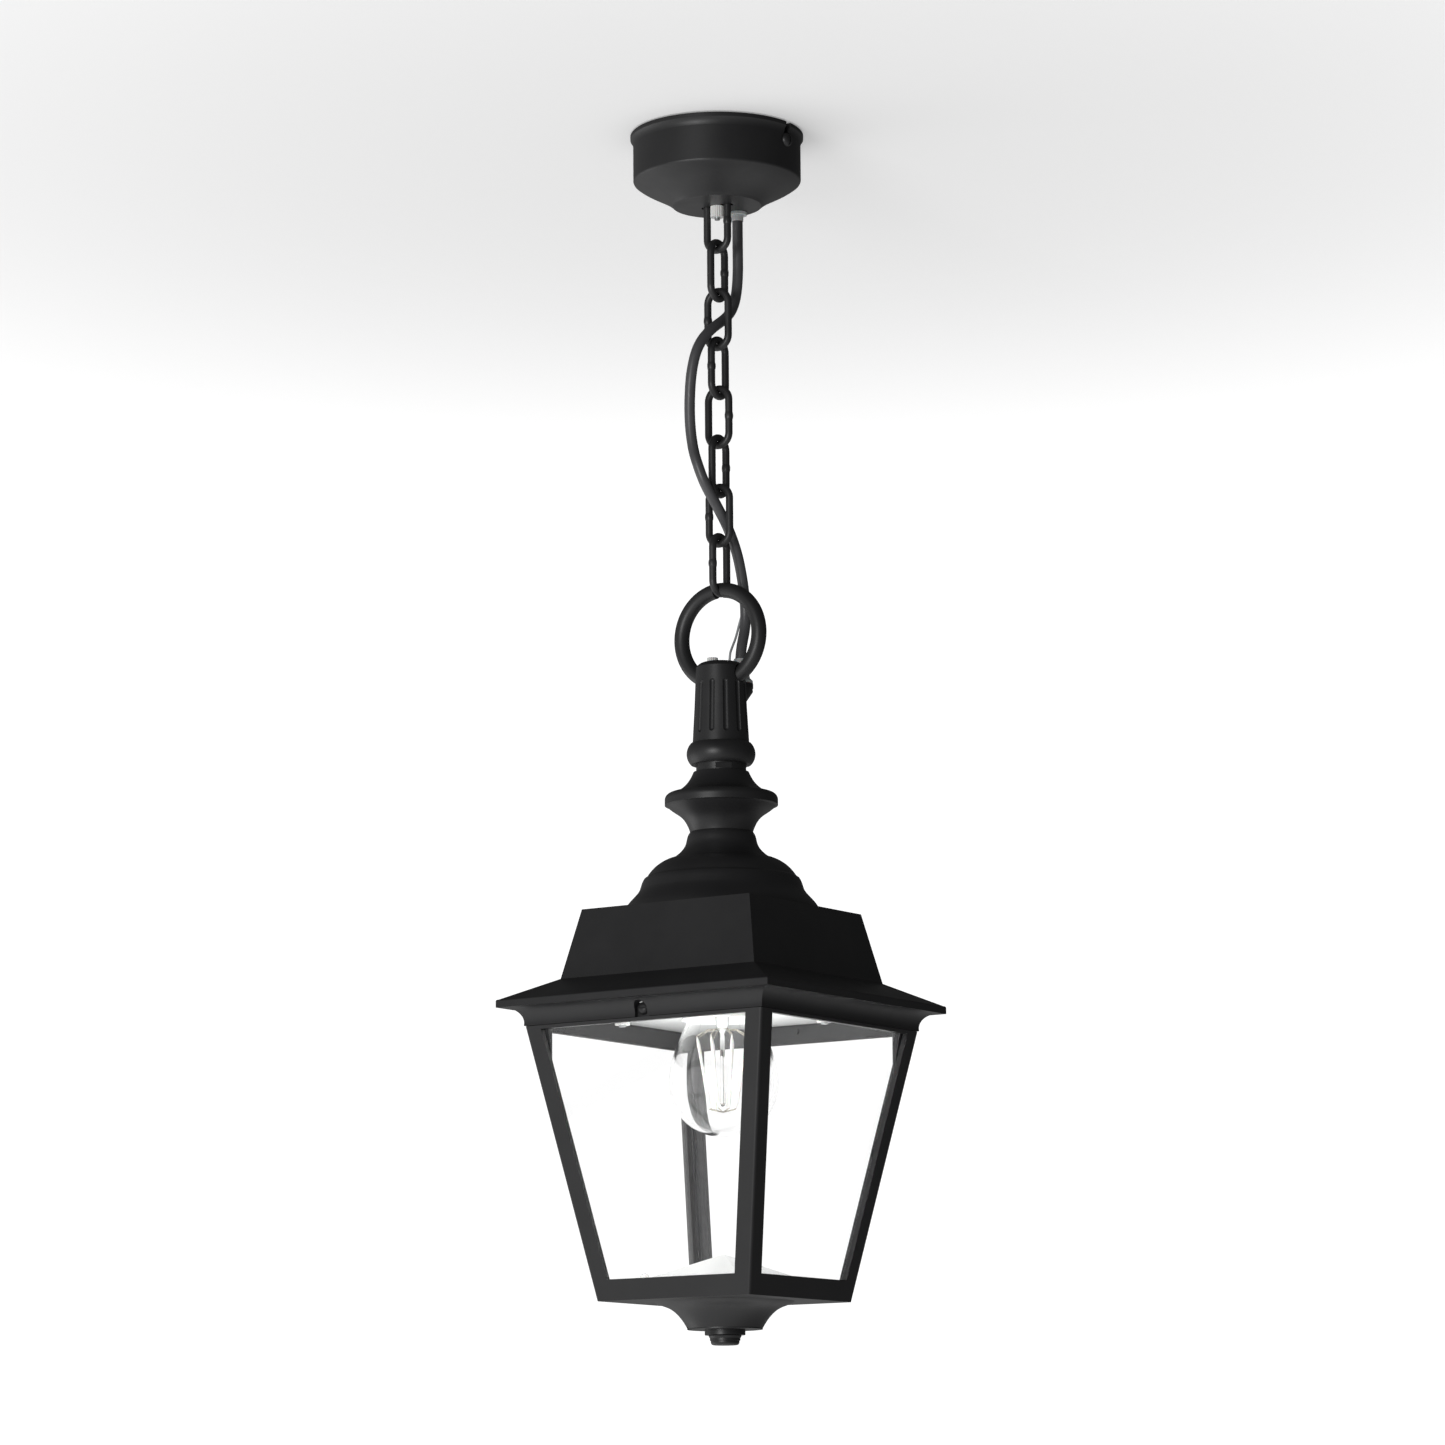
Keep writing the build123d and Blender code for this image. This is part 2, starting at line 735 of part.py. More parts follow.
os.makedirs("parts", exist_ok=True)
for name, shape in parts.items():
    export_step(shape, "parts/%s.step" % name)
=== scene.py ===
import math

import bmesh
import bpy
import numpy as np
from mathutils import Matrix, Vector


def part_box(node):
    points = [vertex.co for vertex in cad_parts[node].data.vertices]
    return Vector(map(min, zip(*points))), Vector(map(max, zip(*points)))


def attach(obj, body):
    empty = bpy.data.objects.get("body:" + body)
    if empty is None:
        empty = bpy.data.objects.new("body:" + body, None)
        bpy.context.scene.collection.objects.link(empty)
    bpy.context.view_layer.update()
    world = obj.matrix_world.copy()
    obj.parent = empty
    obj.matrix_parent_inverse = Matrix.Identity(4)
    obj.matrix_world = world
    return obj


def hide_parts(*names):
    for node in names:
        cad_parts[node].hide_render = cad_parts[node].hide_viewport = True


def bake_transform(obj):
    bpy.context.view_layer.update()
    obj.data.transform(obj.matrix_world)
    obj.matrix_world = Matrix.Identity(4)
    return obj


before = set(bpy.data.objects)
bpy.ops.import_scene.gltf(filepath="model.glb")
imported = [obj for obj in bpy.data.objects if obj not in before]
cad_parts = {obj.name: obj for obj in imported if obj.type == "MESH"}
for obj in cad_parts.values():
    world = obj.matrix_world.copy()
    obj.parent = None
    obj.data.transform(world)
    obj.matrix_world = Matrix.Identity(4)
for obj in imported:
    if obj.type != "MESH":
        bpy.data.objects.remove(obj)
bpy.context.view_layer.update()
print("frame loaded:", len(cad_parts), "nodes")


def linear(hexColour):
    # sRGB hex to linear: divide by 12.92 below 0.04045, else ((c + 0.055) / 1.055) to the power 2.4
    values = [int(hexColour[i:i + 2], 16) / 255 for i in (1, 3, 5)]
    return [c / 12.92 if c < 0.04045 else ((c + 0.055) / 1.055) ** 2.4 for c in values] + [1.0]


def grey(value):
    return [value, value, value, 1.0]


def addNode(tree, kind, inputs=None, stops=(), **settings):
    # an input is a plain value, or another node's socket to link from
    # stops are the positions and colours of a ramp
    node = tree.nodes.new(kind)
    for name, value in settings.items():
        setattr(node, name, value)
    for name, value in (inputs or {}).items():
        if isinstance(value, bpy.types.NodeSocket):
            tree.links.new(value, node.inputs[name])
        else:
            node.inputs[name].default_value = value
    if stops:
        elements = node.color_ramp.elements
        while len(elements) < len(stops):
            elements.new(0.5)
        for element, (position, colour) in zip(elements, stops):
            element.position, element.color = position, colour
    return node


def newMaterial(name):
    material = bpy.data.materials.new(name)
    material.use_nodes = True
    tree = material.node_tree
    tree.nodes.clear()
    output = addNode(tree, "ShaderNodeOutputMaterial")
    place = addNode(tree, "ShaderNodeTexCoord").outputs["Object"]
    return material, tree, output, place


# sizes and depths of patterns are in metres
powderCoat = {"colour": "#252526", "worn": "#2a2a2b", "blotch": 0.03, "polish": 0.018,
              "shine": (0.38, 0.47), "ior": 1.5, "wave": 0.016, "waveDepth": 0.00006,
              "peel": 0.0011, "peelDepth": 0.00005}
chainLacquer = {"colour": "#29292a", "worn": "#333334", "blotch": 0.03, "polish": 0.018,
                "shine": (0.36, 0.45), "ior": 1.5, "wave": 0.006, "waveDepth": 0.00003,
                "peel": 0.0008, "peelDepth": 0.00002}


def makeCoat(name, look):
    # black paint: a fine orange peel lies over the waviness of the metal, and colour and shine drift
    material, tree, output, place = newMaterial(name)
    blotch, polish, wave, peel = [
        addNode(tree, "ShaderNodeTexNoise", {"Vector": place, "Scale": 1 / look[size],
                                             "Detail": detail, "Roughness": 0.55}).outputs["Fac"]
        for size, detail in (("blotch", 3.0), ("polish", 3.0), ("wave", 2.0), ("peel", 2.0))]
    colour = addNode(tree, "ShaderNodeValToRGB", {"Fac": blotch}, [
        (0.35, linear(look["colour"])), (0.75, linear(look["worn"]))])
    shine = addNode(tree, "ShaderNodeValToRGB", {"Fac": polish}, [
        (0.3, grey(look["shine"][0])), (0.7, grey(look["shine"][1]))])
    waviness = addNode(tree, "ShaderNodeBump", {
        "Strength": 0.6, "Distance": look["waveDepth"], "Height": wave})
    bump = addNode(tree, "ShaderNodeBump", {
        "Strength": 0.5, "Distance": look["peelDepth"], "Height": peel,
        "Normal": waviness.outputs["Normal"]})
    shader = addNode(tree, "ShaderNodeBsdfPrincipled", {
        "Base Color": colour.outputs["Color"], "Roughness": shine.outputs["Color"],
        "IOR": look["ior"], "Normal": bump.outputs["Normal"]})
    tree.links.new(shader.outputs["BSDF"], output.inputs["Surface"])
    return material


cableLook = {"colour": "#4c4c4e", "shade": "#58585a", "blotch": 0.02, "end": 0.7,
             "shine": (0.33, 0.41), "grain": 0.0016, "bump": 0.25, "depth": 0.00004,
             "shader": {"IOR": 1.53}}
earthLook = {"colour": "#b4b7b9", "shade": "#c3c6c8", "blotch": 0.02, "end": 0.7,
             "shine": (0.37, 0.45), "grain": 0.0008, "bump": 0.25, "depth": 0.00004,
             "shader": {"IOR": 1.53}}
ureaLook = {"colour": "#e9e9e7", "shade": "#f1f1ee", "blotch": 0.008, "end": 0.75,
            "shine": (0.31, 0.39), "grain": 0.0006, "bump": 0.3, "depth": 0.00002,
            "shader": {"IOR": 1.5, "Subsurface Weight": 0.05, "Subsurface Scale": 0.001}}
polyamideLook = {"colour": "#c9cdcd", "shade": "#d9dddd", "blotch": 0.008, "end": 0.75,
                 "shine": (0.38, 0.46), "grain": 0.0006, "bump": 0.3, "depth": 0.00002,
                 "shader": {"IOR": 1.5, "Subsurface Weight": 0.15, "Subsurface Scale": 0.001}}
enamelLook = {"colour": "#e6e7e6", "shade": "#f0f0ee", "blotch": 0.04, "end": 0.75,
              "shine": (0.28, 0.36), "grain": 0.0014, "bump": 0.3, "depth": 0.00003,
              "shader": {"IOR": 1.52}}
zincLook = {"colour": "#b9bbbd", "shade": "#cfd0d0", "blotch": 0.01, "end": 0.75,
            "shine": (0.25, 0.38), "grain": 0.0007, "detail": 3.0, "stretch": (1.0, 1.0, 0.12),
            "bump": 0.35, "depth": 0.00002, "shader": {"Metallic": 1.0}}
capLook = {"colour": "#b8b2a2", "shade": "#cfc9ba", "blotch": 0.01, "end": 0.75,
           "shine": (0.21, 0.34), "grain": 0.0006, "detail": 3.0, "stretch": (1.0, 1.0, 0.12),
           "bump": 0.35, "depth": 0.00001, "shader": {"Metallic": 1.0}}
phosphorLook = {"colour": "#f2f0e8", "shade": "#f8f7f3", "blotch": 0.0012, "end": 0.7,
                "shine": (0.5, 0.5), "grain": 0.0005, "detail": 3.0, "bump": 0.4, "depth": 0.00003,
                "shader": {"IOR": 1.41, "Subsurface Weight": 0.2, "Subsurface Scale": 0.0008}}


def makeSurface(name, look):
    # the colour drifts between two values; one fine grain gives both the relief and the changes in shine
    material, tree, output, place = newMaterial(name)
    blotch = addNode(tree, "ShaderNodeTexNoise", {
        "Vector": place, "Scale": 1 / look["blotch"], "Detail": 3.0, "Roughness": 0.55})
    if "stretch" in look:
        place = addNode(tree, "ShaderNodeMapping", {
            "Vector": place, "Scale": look["stretch"]}).outputs["Vector"]
    grain = addNode(tree, "ShaderNodeTexNoise", {
        "Vector": place, "Scale": 1 / look["grain"], "Detail": look.get("detail", 2.0),
        "Roughness": 0.55})
    tint = addNode(tree, "ShaderNodeValToRGB", {"Fac": blotch.outputs["Fac"]}, [
        (0.3, linear(look["colour"])), (look["end"], linear(look["shade"]))])
    shine = addNode(tree, "ShaderNodeValToRGB", {"Fac": grain.outputs["Fac"]}, [
        (0.3, grey(look["shine"][0])), (0.7, grey(look["shine"][1]))])
    bump = addNode(tree, "ShaderNodeBump", {
        "Strength": look["bump"], "Distance": look["depth"], "Height": grain.outputs["Fac"]})
    shader = addNode(tree, "ShaderNodeBsdfPrincipled", {
        "Base Color": tint.outputs["Color"], "Roughness": shine.outputs["Color"],
        "Normal": bump.outputs["Normal"], **look["shader"]})
    tree.links.new(shader.outputs["BSDF"], output.inputs["Surface"])
    return material


# the panes' IOR is below that of real glass, 1.52, so that they veil what is behind them only faintly
paneLook = {"ior": 1.38, "ripple": 0.03, "depth": 0.00002}
bulbLook = {"ior": 1.47, "ripple": 0.02, "depth": 0.00001}


def makeGlass(name, look):
    # polished clear glass with a barely visible ripple; light passes through it without a dark shadow
    material, tree, output, place = newMaterial(name)
    ripple = addNode(tree, "ShaderNodeTexNoise", {
        "Vector": place, "Scale": 1 / look["ripple"], "Detail": 1.0, "Roughness": 0.55})
    bump = addNode(tree, "ShaderNodeBump", {
        "Strength": 0.15, "Distance": look["depth"], "Height": ripple.outputs["Fac"]})
    shader = addNode(tree, "ShaderNodeBsdfPrincipled", {
        "Base Color": linear("#ffffff"), "Roughness": 0.0, "IOR": look["ior"],
        "Transmission Weight": 1.0, "Normal": bump.outputs["Normal"]})
    clear = addNode(tree, "ShaderNodeBsdfTransparent", {"Color": linear("#fcfdfd")})
    path = addNode(tree, "ShaderNodeLightPath")
    mix = addNode(tree, "ShaderNodeMixShader", {
        "Fac": path.outputs["Is Shadow Ray"], 1: shader.outputs["BSDF"], 2: clear.outputs["BSDF"]})
    tree.links.new(mix.outputs["Shader"], output.inputs["Surface"])
    return material


# polyester powder baked on sand-cast aluminium: satin black, orange peel over a faintly wavy casting
castBlack = makeCoat("satin powder coat on cast aluminium", powderCoat)
# thin lacquer on drawn and welded wire: satin black, smoother than the castings
chainBlack = makeCoat("black lacquer on welded steel", chainLacquer)
# extruded PVC: smooth, with a fine uneven grain and a soft sheen
cableSheath = makeSurface("black PVC cable sheath", cableLook)
earthSheath = makeSurface("grey PVC wire sheath", earthLook)
# moulded urea and nylon: even colour, fine mould texture, a little light goes in
whiteUrea = makeSurface("white moulded urea", ureaLook)
palePolyamide = makeSurface("light grey moulded polyamide", polyamideLook)
# baked enamel on folded sheet: glossy white with a faint orange peel
whiteEnamel = makeSurface("white baked enamel on steel sheet", enamelLook)
# plated or formed metal: fine drawn grain, and a shine that drifts with handling
zincPlate = makeSurface("bright zinc plate on steel", zincLook)
capMetal = makeSurface("nickel-plated brass cap", capLook)
# float glass and blown glass: polished and clear
paneGlass = makeGlass("clear float glass", paneLook)
bulbGlass = makeGlass("clear blown bulb glass", bulbLook)
# silicone with pale phosphor over the diode strips: matt, slightly translucent, finely grained
phosphor = makeSurface("pale phosphor silicone", phosphorLook)
print("materials made")

nodeFinish = {
    castBlack: ["rose_shell", "rose_screw_right", "rose_screw_left", "suspension_ring",
                "fluted_neck", "bead_ring", "lock_collar", "spool", "stepped_dome", "hood",
                "cage_frame", "cage_screw_back", "cage_screw_front", "base_dish",
                "finial_washer", "finial_knob"],
    chainBlack: ["chain_link_%d" % number for number in range(1, 9)],
    whiteUrea: ["rose_nut", "neck_set_screw", "plate_nuts", "floor_nut", "holder_cover",
                "holder_body", "holder_skirt"],
    palePolyamide: ["cable_grommet", "cable_gland", "wire_bush", "rose_terminal_block"],
    whiteEnamel: ["reflector_plate", "floor_reflector"],
    zincPlate: ["ceiling_bracket", "hanger_yoke", "clamp_stud", "threaded_tube", "tube_washer",
                "tube_nut", "plate_studs", "plate_spacers", "tie_rod", "pane_clips"],
    capMetal: ["holder_contact"],
    paneGlass: ["glass_pane_front", "glass_pane_right", "glass_pane_back", "glass_pane_left"],
}
for finish, names in nodeFinish.items():
    for name in names:
        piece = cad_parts[name]
        for part in piece.material_slots:
            part.material = finish
        if not piece.material_slots:
            piece.data.materials.append(finish)
print("finishes given to the carried-over nodes")


def addObject(name, data):
    thing = bpy.data.objects.new(name, data)
    bpy.context.scene.collection.objects.link(thing)
    return thing


def fullTurn(count):
    return np.linspace(0, 2 * np.pi, count, endpoint=False)


def meshFromRings(name, rings, material, body):
    # rings is a (rows, columns, 3) array: each row closes on itself and is joined to the next
    rows, columns = rings.shape[:2]
    index = np.arange(rows * columns).reshape(rows, columns)
    here, below = index[:-1], index[1:]
    quads = np.stack([here, np.roll(here, -1, 1), np.roll(below, -1, 1), below], -1)
    mesh = bpy.data.meshes.new(name)
    mesh.from_pydata(rings.reshape(-1, 3), [], quads.reshape(-1, 4))
    # poles and seams are merged and the faces turned outwards
    work = bmesh.new()
    work.from_mesh(mesh)
    bmesh.ops.remove_doubles(work, verts=work.verts, dist=1e-7)
    flat = [face for face in work.faces if face.calc_area() < 1e-14]
    bmesh.ops.delete(work, geom=flat, context="FACES")
    bmesh.ops.recalc_face_normals(work, faces=work.faces)
    work.to_mesh(mesh)
    work.free()
    mesh.shade_smooth()
    mesh.materials.append(material)
    piece = addObject(name, mesh)
    if body:
        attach(piece, body)
    return piece


def levelRings(radius, height, around, centre=(0.0, 0.0)):
    # a level circle at each height: x is radius times cosine, y is radius times sine of the angle
    angle = fullTurn(around)
    radius = np.reshape(radius, (len(height), -1))
    return np.stack([radius * np.cos(angle) + centre[0], radius * np.sin(angle) + centre[1],
                     np.outer(height, np.ones(around))], -1)


def turned(name, profile, material, body, around, centre=(0.0, 0.0)):
    # surface of revolution: the profile's radius and height, turned a full circle about an upright axis
    radius, height = np.array(profile, float).T
    return meshFromRings(name, levelRings(radius, height, around, centre), material, body)


def tubeRings(path, radius, around):
    # circles carried along a path: each lies across the path's direction, turned as little as can be
    path = np.array(path, float)
    radius = np.broadcast_to(radius, len(path))[:, None, None]
    ahead = np.gradient(path, axis=0)
    ahead /= np.linalg.norm(ahead, axis=1)[:, None]
    across = np.cross(ahead[0], (0.3, 0.9, 0.1))
    sides = []
    for direction in ahead:
        across = across - direction * (across @ direction)
        across /= np.linalg.norm(across)
        sides.append(across)
    sides = np.array(sides)
    up = np.cross(ahead, sides)
    angle = fullTurn(around)[None, :, None]
    return path[:, None] + radius * (sides[:, None] * np.cos(angle) + up[:, None] * np.sin(angle))


def tube(name, path, radius, material, around):
    # a tube along a path, its ends closed to a point
    ends = [np.repeat(np.array(point)[None, None], around, 1) for point in (path[0], path[-1])]
    rings = np.concatenate([ends[0], tubeRings(path, radius, around), ends[1]])
    return meshFromRings(name, rings, material, None)


def joined(name, pieces, material, body):
    # several meshes gathered into one piece
    work = bmesh.new()
    for piece in pieces:
        work.from_mesh(piece.data)
        bpy.data.objects.remove(piece)
    mesh = bpy.data.meshes.new(name)
    work.to_mesh(mesh)
    work.free()
    mesh.shade_smooth()
    mesh.materials.append(material)
    result = addObject(name, mesh)
    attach(result, body)
    return result


bulb = {"widest": 0.030, "wall": 0.0016, "neck": 0.0122, "neckOverCap": 0.0005, "topDrop": 0.001,
        "narrowing": 1.9, "shoulder": 0.55, "around": 128}
glassLow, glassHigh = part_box("lamp_glass")
capLow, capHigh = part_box("lamp_cap")
bulbTop = glassHigh[2]
bulbMiddle = glassLow[2] + bulb["widest"]


def bulbProfile(inset):
    # a quarter circle up to the widest place, then a narrowing to the neck that goes with
    # share to the power 1.9 times (1 + 0.55 (1 - share)), where share is the height from 0 to 1
    angle = np.linspace(0, np.pi / 2, 40)
    belly = bulb["widest"] - inset
    neck = bulb["neck"] - inset
    low = np.stack([belly * np.sin(angle), bulbMiddle - belly * np.cos(angle)], 1)
    share = np.linspace(0, 1, 50)[1:]
    neckHeight = capLow[2] + bulb["neckOverCap"]
    ease = share ** bulb["narrowing"] * (1.0 + bulb["shoulder"] * (1 - share))
    high = np.stack([belly + (neck - belly) * np.minimum(ease, 1.0),
                     bulbMiddle + (neckHeight - bulbMiddle) * share], 1)
    return np.concatenate([low, high, [[neck, bulbTop - bulb["topDrop"]]]])


outside, inside = bulbProfile(0), bulbProfile(bulb["wall"])
bulbPiece = turned("lamp_bulb", np.concatenate([outside, inside[::-1]]), bulbGlass, "lamp",
                   bulb["around"])
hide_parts("lamp_glass")

# the tip's pairs are a radius and a height below the cap's end
screwCap = {"radius": 0.0130, "threadDepth": 0.0009, "threadPitch": 0.0036, "threadFade": 8,
            "threadEnd": 0.006, "footGap": 0.0001, "footRise": 0.0002, "around": 96, "along": 60,
            "tip": [(0.0112, -0.0050), (0.0105, -0.0034), (0.0062, -0.0020), (0.0050, -0.0016),
                    (0.0047, -0.0002), (0.0, 0.0)]}


def threadedCap():
    # a cylinder whose radius rises and falls once each pitch, shifted by the angle, so that it winds round
    around = screwCap["around"]
    height = np.linspace(capLow[2], capHigh[2] - screwCap["threadEnd"], screwCap["along"])
    share = (height - height[0]) / (height[-1] - height[0])
    fade = np.clip(np.minimum(share, 1 - share) * screwCap["threadFade"], 0, 1)
    wave = np.cos(2 * np.pi * height[:, None] / screwCap["threadPitch"] - fullTurn(around)[None])
    radius = screwCap["radius"] - screwCap["threadDepth"] * 0.5 * (1 - wave * fade[:, None])
    tipRadius, tipHeight = np.array(screwCap["tip"]).T
    rings = [levelRings([bulb["neck"] + screwCap["footGap"]], [capLow[2] + screwCap["footRise"]], around),
             levelRings(radius, height, around),
             levelRings(tipRadius, capHigh[2] + tipHeight, around)]
    return meshFromRings("lamp_screw_cap", np.concatenate(rings), capMetal, "lamp")


capPiece = threadedCap()
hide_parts("lamp_cap")

# the pairs are a radius and a depth below the bulb's top
stem = {"around": 48, "profile": [
    (0.0, 0.002), (0.0112, 0.0025), (0.0112, 0.006), (0.0060, 0.010), (0.0042, 0.014),
    (0.0036, 0.024), (0.0030, 0.027), (0.0016, 0.029), (0.0012, 0.044), (0.0016, 0.067),
    (0.0010, 0.069), (0.0, 0.0695)]}
stemPiece = turned("lamp_stem_press", [(radius, bulbTop - depth) for radius, depth in stem["profile"]],
                   bulbGlass, "lamp", stem["around"])
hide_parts("lamp_stem")

filament = {"count": 8, "start": 0.17, "twist": 0.12, "headRadius": 0.0150, "headDrop": 0.0008,
            "footRadius": 0.0078, "footRise": 0.001, "rodRadius": 0.00085, "wireRadius": 0.0003,
            "hubRadius": 0.0022, "hubRise": 0.0035, "lowHubDrop": 0.0008, "wireArch": 0.0016}
filamentLow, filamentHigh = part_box("lamp_filaments")


def pointAbout(radius, turn, height):
    # the point at a radius and an angle about the lamp's axis
    return np.array([radius * math.cos(turn), radius * math.sin(turn), height])


rods, wires = [], []
lowHub = pointAbout(0.0, 0.0, filamentLow[2] - filament["lowHubDrop"])
share = np.linspace(0, 1, 14)
# a rod keeps its radius along most of its length and rounds off at both ends
rodRadius = filament["rodRadius"] * np.clip(np.sqrt(1 - (2 * share - 1) ** 12), 0.25, 1)
for number in range(filament["count"]):
    turn = 2 * math.pi * number / filament["count"] + filament["start"]
    head = pointAbout(filament["headRadius"], turn, filamentHigh[2] - filament["headDrop"])
    foot = pointAbout(filament["footRadius"], turn + filament["twist"],
                      filamentLow[2] + filament["footRise"])
    hub = pointAbout(filament["hubRadius"], turn, filamentHigh[2] + filament["hubRise"])
    rods.append(tube("rod%d" % number, head + (foot - head) * share[:, None], rodRadius, phosphor, 12))
    arch = hub * 0.5 + head * 0.5 + [0, 0, filament["wireArch"]]
    wires.append(tube("top%d" % number, [hub, arch, head], filament["wireRadius"], capMetal, 8))
    wires.append(tube("low%d" % number, [foot, foot * 0.6 + lowHub * 0.4, lowHub],
                      filament["wireRadius"], capMetal, 8))
filaments = joined("lamp_filament_rods", rods, phosphor, "lamp")
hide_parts("lamp_filaments")
supports = joined("lamp_support_wires", wires, capMetal, "lamp")
print("lamp made")

# the routes are control points in millimetres
cable = {"radius": 0.0030, "around": 20, "route": [
    (1.5, 18.3, -46.6), (1.5, 18.3, -61), (1.2, 18.9, -79), (0.9, 16.6, -94),
    (0.8, 9.6, -104.3), (0.8, -9.8, -115.9), (-1.2, -19.2, -127), (-4.3, -20.8, -141),
    (-6.8, -19.2, -157), (-7.4, -18.0, -172), (-6.0, -17.2, -185), (-3.2, -17.8, -193),
    (0.2, -14.8, -206.0), (0.8, -4.6, -215.6), (0.8, 7.6, -227.4), (0.7, 16.2, -239.5),
    (0.6, 21.4, -253), (0.4, 24.8, -267), (0.2, 25.4, -281), (0, 21.6, -292.6),
    (0, 20, -300.6), (0, 20, -307.4)]}
# the earth wire leaves the side of the cable just above the neck
earth = {"radius": 0.0007, "around": 12, "route": [
    (0.3, 25.2, -268.5), (-2.0, 25.6, -273.0), (-3.5, 24.2, -280.0), (-2.9, 19.9, -288.5),
    (-1.5, 13.8, -295.2), (0, 9.2, -300.0), (0, 9.2, -305.6)]}
# each stretch crosses one joint: the bodies above and below, the heights in millimetres where
# its bend starts and stops, and the height where the stretch ends
stretches = [
    ("top", "rose", "chain_upper", -55, -80, -84),
    ("upper", "chain_upper", "chain_middle", -86, -106, -140),
    ("middle", "chain_middle", "chain_lower", -168, -192, -194),
    ("lower", "chain_lower", "chain_foot", -197, -220, -228),
    ("ring", "chain_foot", "ring", -246, -265, -267),
    ("foot", "ring", "lantern", -282, -304, -400),
]


def splinePoints(name, route):
    # the smooth line of a NURBS curve of order three whose control points are the route
    curve = bpy.data.curves.new(name, "CURVE")
    curve.dimensions = "3D"
    spline = curve.splines.new("NURBS")
    spline.points.add(len(route) - 1)
    for point, (x, y, z) in zip(spline.points, route):
        point.co = (x / 1000, y / 1000, z / 1000, 1)
    spline.order_u = 3
    spline.use_endpoint_u = True
    spline.resolution_u = 16
    line = addObject(name, curve)
    bpy.context.view_layer.update()
    mesh = bpy.data.meshes.new_from_object(
        line.evaluated_get(bpy.context.evaluated_depsgraph_get()))
    points = np.empty(len(mesh.vertices) * 3)
    mesh.vertices.foreach_get("co", points)
    bpy.data.objects.remove(line)
    return points.reshape(-1, 3)


def makeCord(name, cord, material, node, stretches):
    # circles along the route, cut into stretches that each end at the height given for it
    line = splinePoints(name + "_line", cord["route"])
    if line[0, 2] < line[-1, 2]:
        line = line[::-1]
    start = 0
    for label, above, below, bendFrom, bendTo, end in stretches:
        after = np.nonzero(line[:, 2] < end / 1000)[0]
        stop = after[0] if len(after) else len(line) - 1
        path = line[start:stop + 1]
        rings = tubeRings(path, cord["radius"], cord["around"])
        piece = meshFromRings(name + "_" + label, rings, material, None)
        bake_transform(piece)
        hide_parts(node)
        start = stop


makeCord("supply_cable", cable, cableSheath, "supply_cable",
         stretches)
makeCord("earth_wire", earth, earthSheath, "earth_wire",
         stretches[-1:])

glandLip = {"centre": (0.0, 0.020), "bore": 0.0031, "foot": 0.0052, "top": 0.0035, "waist": 0.0044,
            "from": -0.3069, "to": -0.3008, "straight": 0.0012, "round": (0.0003, 0.0005),
            "around": 48}


def makeGlandLip():
    # a ring round the cable whose outside narrows from foot to top, rounded at the top edge
    low, high, bore = glandLip["from"], glandLip["to"], glandLip["bore"]
    out, down = glandLip["round"]
    profile = [(bore, low), (glandLip["foot"], low), (glandLip["foot"], low + glandLip["straight"]),
               (glandLip["waist"], low * 0.55 + high * 0.45), (glandLip["top"] + out, high - down),
               (glandLip["top"], high), (bore, high), (bore, low)]
    lip = turned("gland_lip", profile, palePolyamide, "lantern", glandLip["around"], glandLip["centre"])


makeGlandLip()
print("cable and earth wire made")

weld = {"swell": 0.00035, "half": 0.0021, "wire": 0.0021, "sink": 0.00002, "leg": 0.00695,
        "ripple": 0.12, "ripples": 5, "around": 28, "along": 17}
chainBody = {1: "rose", 2: "chain_upper", 3: "chain_middle", 4: "chain_middle",
             5: "chain_middle", 6: "chain_lower", 7: "chain_foot", 8: "chain_foot"}


def linkWeld(number):
    # a bead round the wire halfway down one leg: its radius swells as a cosine and ripples a little
    low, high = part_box("chain_link_%d" % number)
    along = np.linspace(-1, 1, weld["along"])
    angle = fullTurn(weld["around"])
    rise = np.cos(along * np.pi / 2)[:, None]
    ripple = 1 + weld["ripple"] * np.sin(weld["ripples"] * angle + number)[None] * rise
    radius = weld["wire"] - weld["sink"] + weld["swell"] * rise ** 0.6 * ripple
    side = weld["leg"] if number % 4 in (1, 2) else -weld["leg"]
    rings = levelRings(radius, (low[2] + high[2]) / 2 + along * weld["half"], weld["around"],
                       (side, 0.0) if number % 2 else (0.0, side))
    bead = meshFromRings("link_weld_%d" % number, rings, chainBlack, chainBody[number])


for number in chainBody:
    linkWeld(number)
print("chain welds made")

# turn, pitch and roll are in degrees
view = {"place": (1.5955, -2.3449, -0.8224), "turn": 34.213, "pitch": 9.654, "roll": -0.4033,
        "lens": 127.92, "sensor": 36}


def makeCamera():
    data = bpy.data.cameras.new("camera")
    data.lens = view["lens"]
    data.sensor_width = view["sensor"]
    camera = addObject("camera", data)
    camera.matrix_world = (Matrix.Translation(view["place"])
                           @ Matrix.Rotation(math.radians(view["turn"]), 4, "Z")
                           @ Matrix.Rotation(math.radians(90 + view["pitch"]), 4, "X")
                           @ Matrix.Rotation(math.radians(view["roll"]), 4, "Z"))
    bpy.context.scene.camera = camera


makeCamera()

softboxes = {
    "left softbox": {"place": (-3.2, -0.6, -1.6), "aim": (0, 0, -0.4), "size": 2.0, "power": 10},
    "front softbox": {"place": (0.3, -2.6, -0.5), "aim": (0, 0, -0.40), "size": 0.9, "power": 26},
}
for name, box in softboxes.items():
    data = bpy.data.lights.new(name, "AREA")
    data.shape = "RECTANGLE"
    data.size = data.size_y = box["size"]
    data.energy = box["power"]
    away = Vector(box["place"]) - Vector(box["aim"])
    addObject(name, data).matrix_world = (Matrix.Translation(box["place"])
                                          @ away.to_track_quat("Z", "Y").to_matrix().to_4x4())

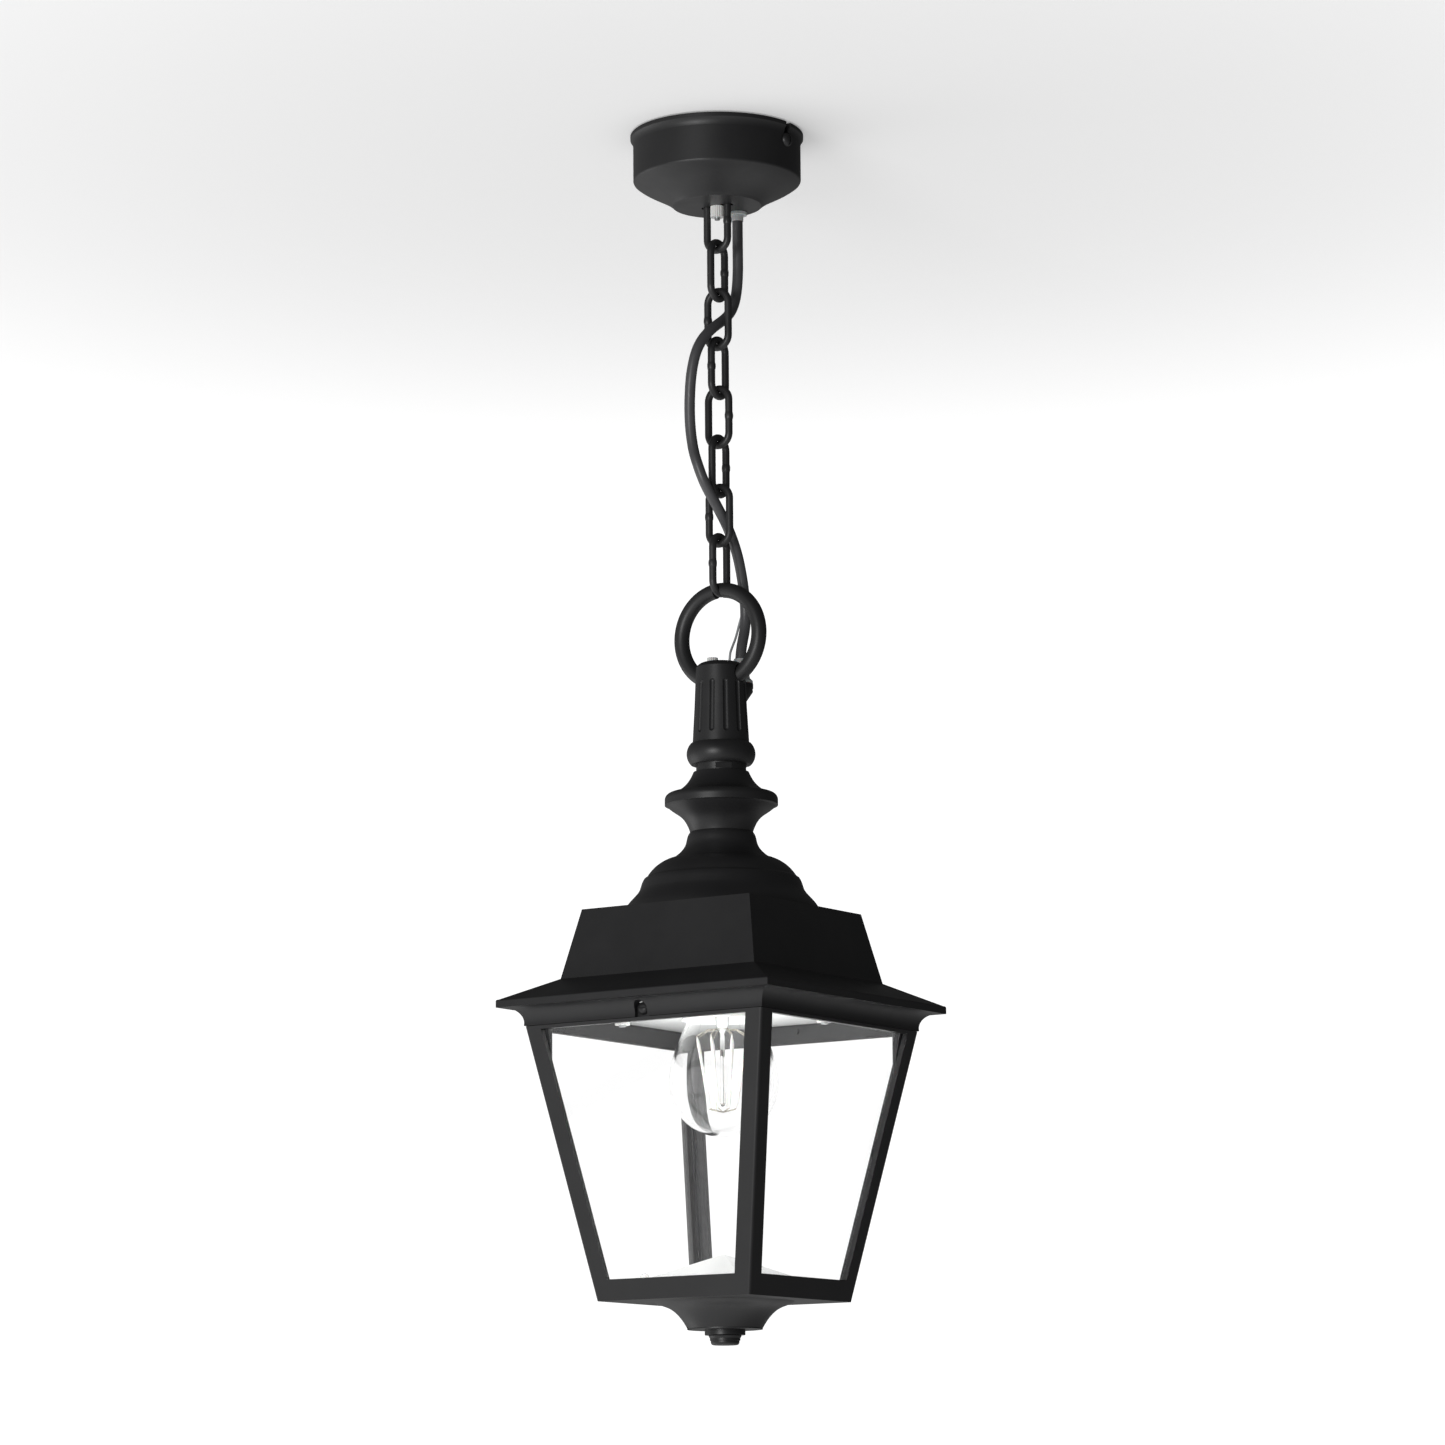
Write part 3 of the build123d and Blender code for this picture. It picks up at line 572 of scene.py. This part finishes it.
sky = {"towards": (-0.38, -0.28, -0.88), "low": 0.055, "middle": 0.28, "high": 0.74, "seen": 1.12}


def makeWorld():
    # a studio that is bright below and to the left, dark to the right and above
    # it is plain white where the camera sees it, also through glass
    world = bpy.data.worlds.new("studio")
    bpy.context.scene.world = world
    world.use_nodes = True
    tree = world.node_tree
    tree.nodes.clear()
    output = addNode(tree, "ShaderNodeOutputWorld")
    direction = addNode(tree, "ShaderNodeTexCoord").outputs["Generated"]
    facing = addNode(tree, "ShaderNodeVectorMath", {0: direction, 1: sky["towards"]},
                     operation="DOT_PRODUCT")
    share = addNode(tree, "ShaderNodeMapRange", {
        "Value": facing.outputs["Value"], "From Min": -1.0, "From Max": 1.0})
    glow = addNode(tree, "ShaderNodeValToRGB", {"Fac": share.outputs["Result"]}, [
        (0.30, grey(sky["low"])), (0.64, grey(sky["middle"])), (0.86, grey(sky["high"]))])
    path = addNode(tree, "ShaderNodeLightPath")
    seen = addNode(tree, "ShaderNodeMath", {
        0: path.outputs["Is Camera Ray"], 1: path.outputs["Is Transmission Ray"]},
        operation="MAXIMUM")
    around = addNode(tree, "ShaderNodeBackground", {"Color": glow.outputs["Color"], "Strength": 1.0})
    white = addNode(tree, "ShaderNodeBackground", {
        "Color": linear("#ffffff"), "Strength": sky["seen"]})
    mix = addNode(tree, "ShaderNodeMixShader", {
        "Fac": seen.outputs[0], 1: around.outputs[0], 2: white.outputs[0]})
    tree.links.new(mix.outputs[0], output.inputs["Surface"])


ceiling = {"radius": 1.5, "solid": 0.05, "gone": 1.25, "height": 0.0008, "colour": "#f2f2f2",
           "glow": 0.24, "around": 64}


def makeCeiling():
    # matt white paint round the rose that shows its soft shadow and fades out to nothing further off
    # it is a flat disc: level circles of growing radius
    material, tree, output, place = newMaterial("white matt ceiling paint")
    away = addNode(tree, "ShaderNodeVectorMath", {0: place}, operation="LENGTH")
    fade = addNode(tree, "ShaderNodeMapRange", {
        "Value": away.outputs["Value"], "From Min": ceiling["solid"], "From Max": ceiling["gone"]},
        interpolation_type="SMOOTHERSTEP")
    paint = addNode(tree, "ShaderNodeBsdfDiffuse", {"Color": linear(ceiling["colour"])})
    glow = addNode(tree, "ShaderNodeEmission", {
        "Color": linear("#ffffff"), "Strength": ceiling["glow"]})
    lit = addNode(tree, "ShaderNodeAddShader", {
        0: paint.outputs["BSDF"], 1: glow.outputs["Emission"]})
    clear = addNode(tree, "ShaderNodeBsdfTransparent")
    mix = addNode(tree, "ShaderNodeMixShader", {
        "Fac": fade.outputs["Result"], 1: lit.outputs["Shader"], 2: clear.outputs["BSDF"]})
    tree.links.new(mix.outputs["Shader"], output.inputs["Surface"])
    radius, height = ceiling["radius"], ceiling["height"]
    disc = turned("ceiling", [(0.0, height), (radius * 0.5, height), (radius, height)], material,
                  None, ceiling["around"])
    # the ceiling throws no light back on the lantern
    disc.visible_diffuse = False
    disc.visible_glossy = False


makeCeiling()

# a weak light inside the bulb that reaches only the white pieces round the lamp
lampGlow = {"power": 0.16, "size": 0.012, "place": (0, 0, -0.537),
            "reaches": ["reflector_plate", "floor_reflector", "plate_nuts", "floor_nut",
                        "holder_body", "holder_skirt"]}
glowData = bpy.data.lights.new("lamp glow", "POINT")
glowData.energy = lampGlow["power"]
glowData.shadow_soft_size = lampGlow["size"]
glowLight = addObject("lamp glow", glowData)
glowLight.location = lampGlow["place"]
receivers = bpy.data.collections.new("lamp glow receivers")
for name in lampGlow["reaches"]:
    receivers.objects.link(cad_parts[name])
glowLight.light_linking.receiver_collection = receivers

makeWorld()
bpy.context.scene.view_settings.view_transform = "Standard"
print("stage, light and camera set")
